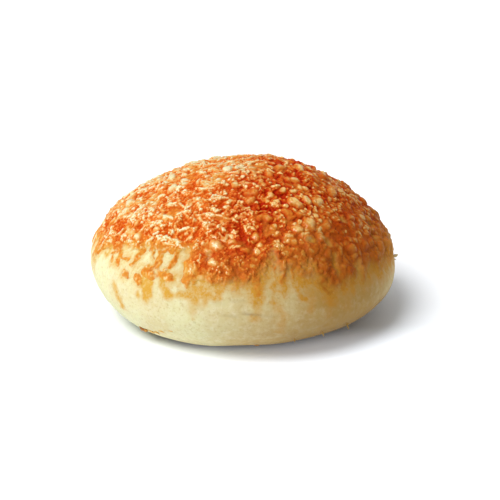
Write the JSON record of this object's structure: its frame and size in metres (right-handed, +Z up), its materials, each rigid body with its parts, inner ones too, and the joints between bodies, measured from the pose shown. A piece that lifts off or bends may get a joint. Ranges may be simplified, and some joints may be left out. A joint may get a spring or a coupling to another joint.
{
  "type": "cheese bun",
  "caption": "Round soft bread bun with a flat underside, its domed top covered by a crust of melted and baked grated cheese.",
  "frame": {"origin": "centre of the flat underside, on the surface that the bun rests on", "axes": "+Z up through the dome, -Y towards the shown side, +X to the right of the shown side, where the cheese comes lowest"},
  "size_m": [0.1102, 0.1104, 0.0551],
  "materials": {
    "dough": null,
    "baked_cheese": null
  },
  "bodies": {
    "root": {"dough_bun": "dough", "cheese_crust": "baked_cheese"}
  },
  "joints": []
}
